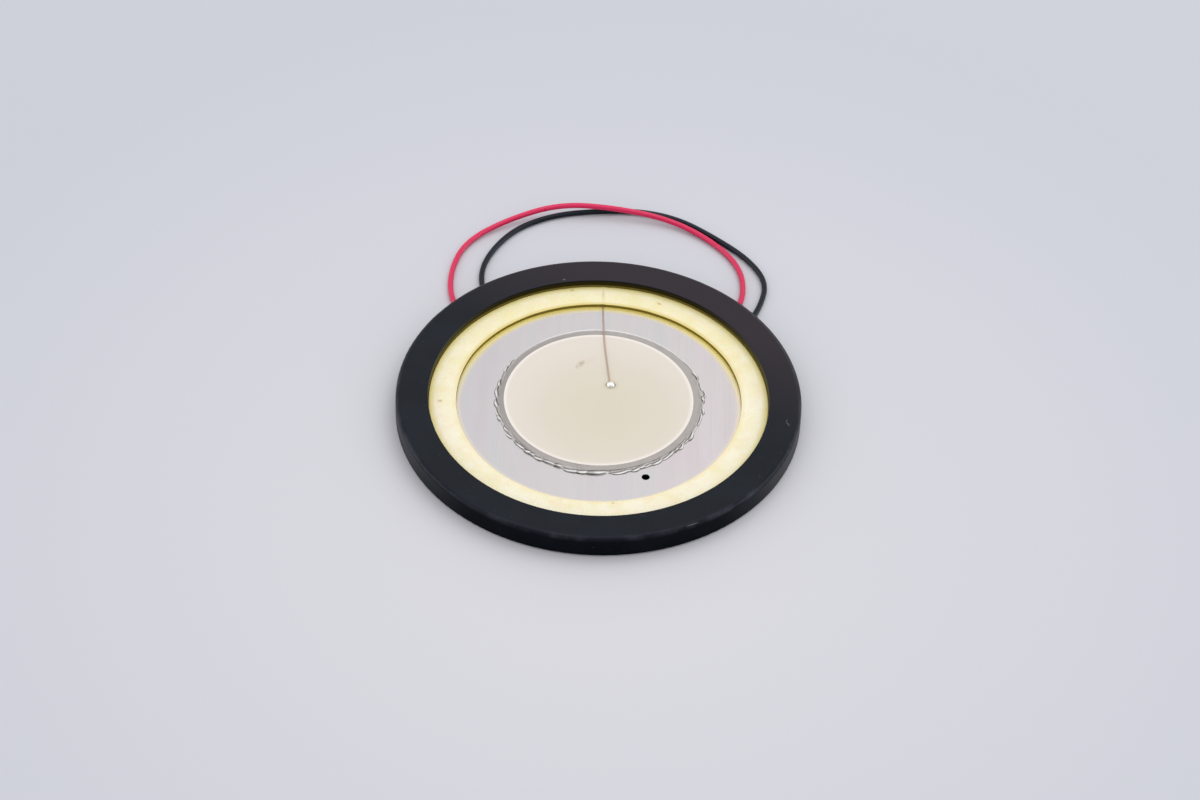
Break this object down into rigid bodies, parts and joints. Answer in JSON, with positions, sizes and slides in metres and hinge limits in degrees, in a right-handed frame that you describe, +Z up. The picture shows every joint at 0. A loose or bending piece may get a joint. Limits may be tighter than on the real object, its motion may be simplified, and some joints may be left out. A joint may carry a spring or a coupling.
{
  "type": "piezo transducer",
  "caption": "Round piezo transducer: ceramic disc bonded to a thin metal plate, seated with a foam ring in a black moulded ring, with a red and a black lead looped out at the rear.",
  "frame": {"origin": "centre of the housing ring's underside, on the surface that it lies on", "axes": "+Z up through the disc towards the ceramic side; +Y towards the rear, where the leads loop out"},
  "size_m": [0.05, 0.0629, 0.003],
  "materials": {
    "black_plastic": "moulded, satin",
    "foam": "closed-cell foam, matt",
    "plate_metal": "rolled, semi-gloss",
    "piezo_ceramic": "fired, matt",
    "fired_silver": "screen-printed and fired, matt",
    "clear_glue": "clear, glossy",
    "seat_glue": "adhesive film",
    "copper": "enamelled",
    "solder": "bright",
    "red_insulation": "extruded, semi-gloss",
    "black_insulation": "extruded, semi-gloss",
    "shrink_sleeve": "shrunk tube, matt"
  },
  "bodies": {
    "root": {"housing_ring": "black_plastic", "seat_adhesive": "seat_glue", "diaphragm_plate": "plate_metal", "foam_ring": "foam", "rear_electrode": "fired_silver", "ceramic_disc": "piezo_ceramic", "front_electrode": "fired_silver", "ceramic_glue": "clear_glue", "copper_wire": "copper", "centre_solder": "solder", "red_lead_core": "solder", "splice_solder": "solder", "splice_sleeve": "shrink_sleeve", "black_lead_core": "solder", "plate_solder": "solder", "lead_anchor": "clear_glue", "red_lead": "red_insulation", "black_lead": "black_insulation", "red_lead_tip": "solder", "black_lead_tip": "solder"}
  },
  "joints": []
}
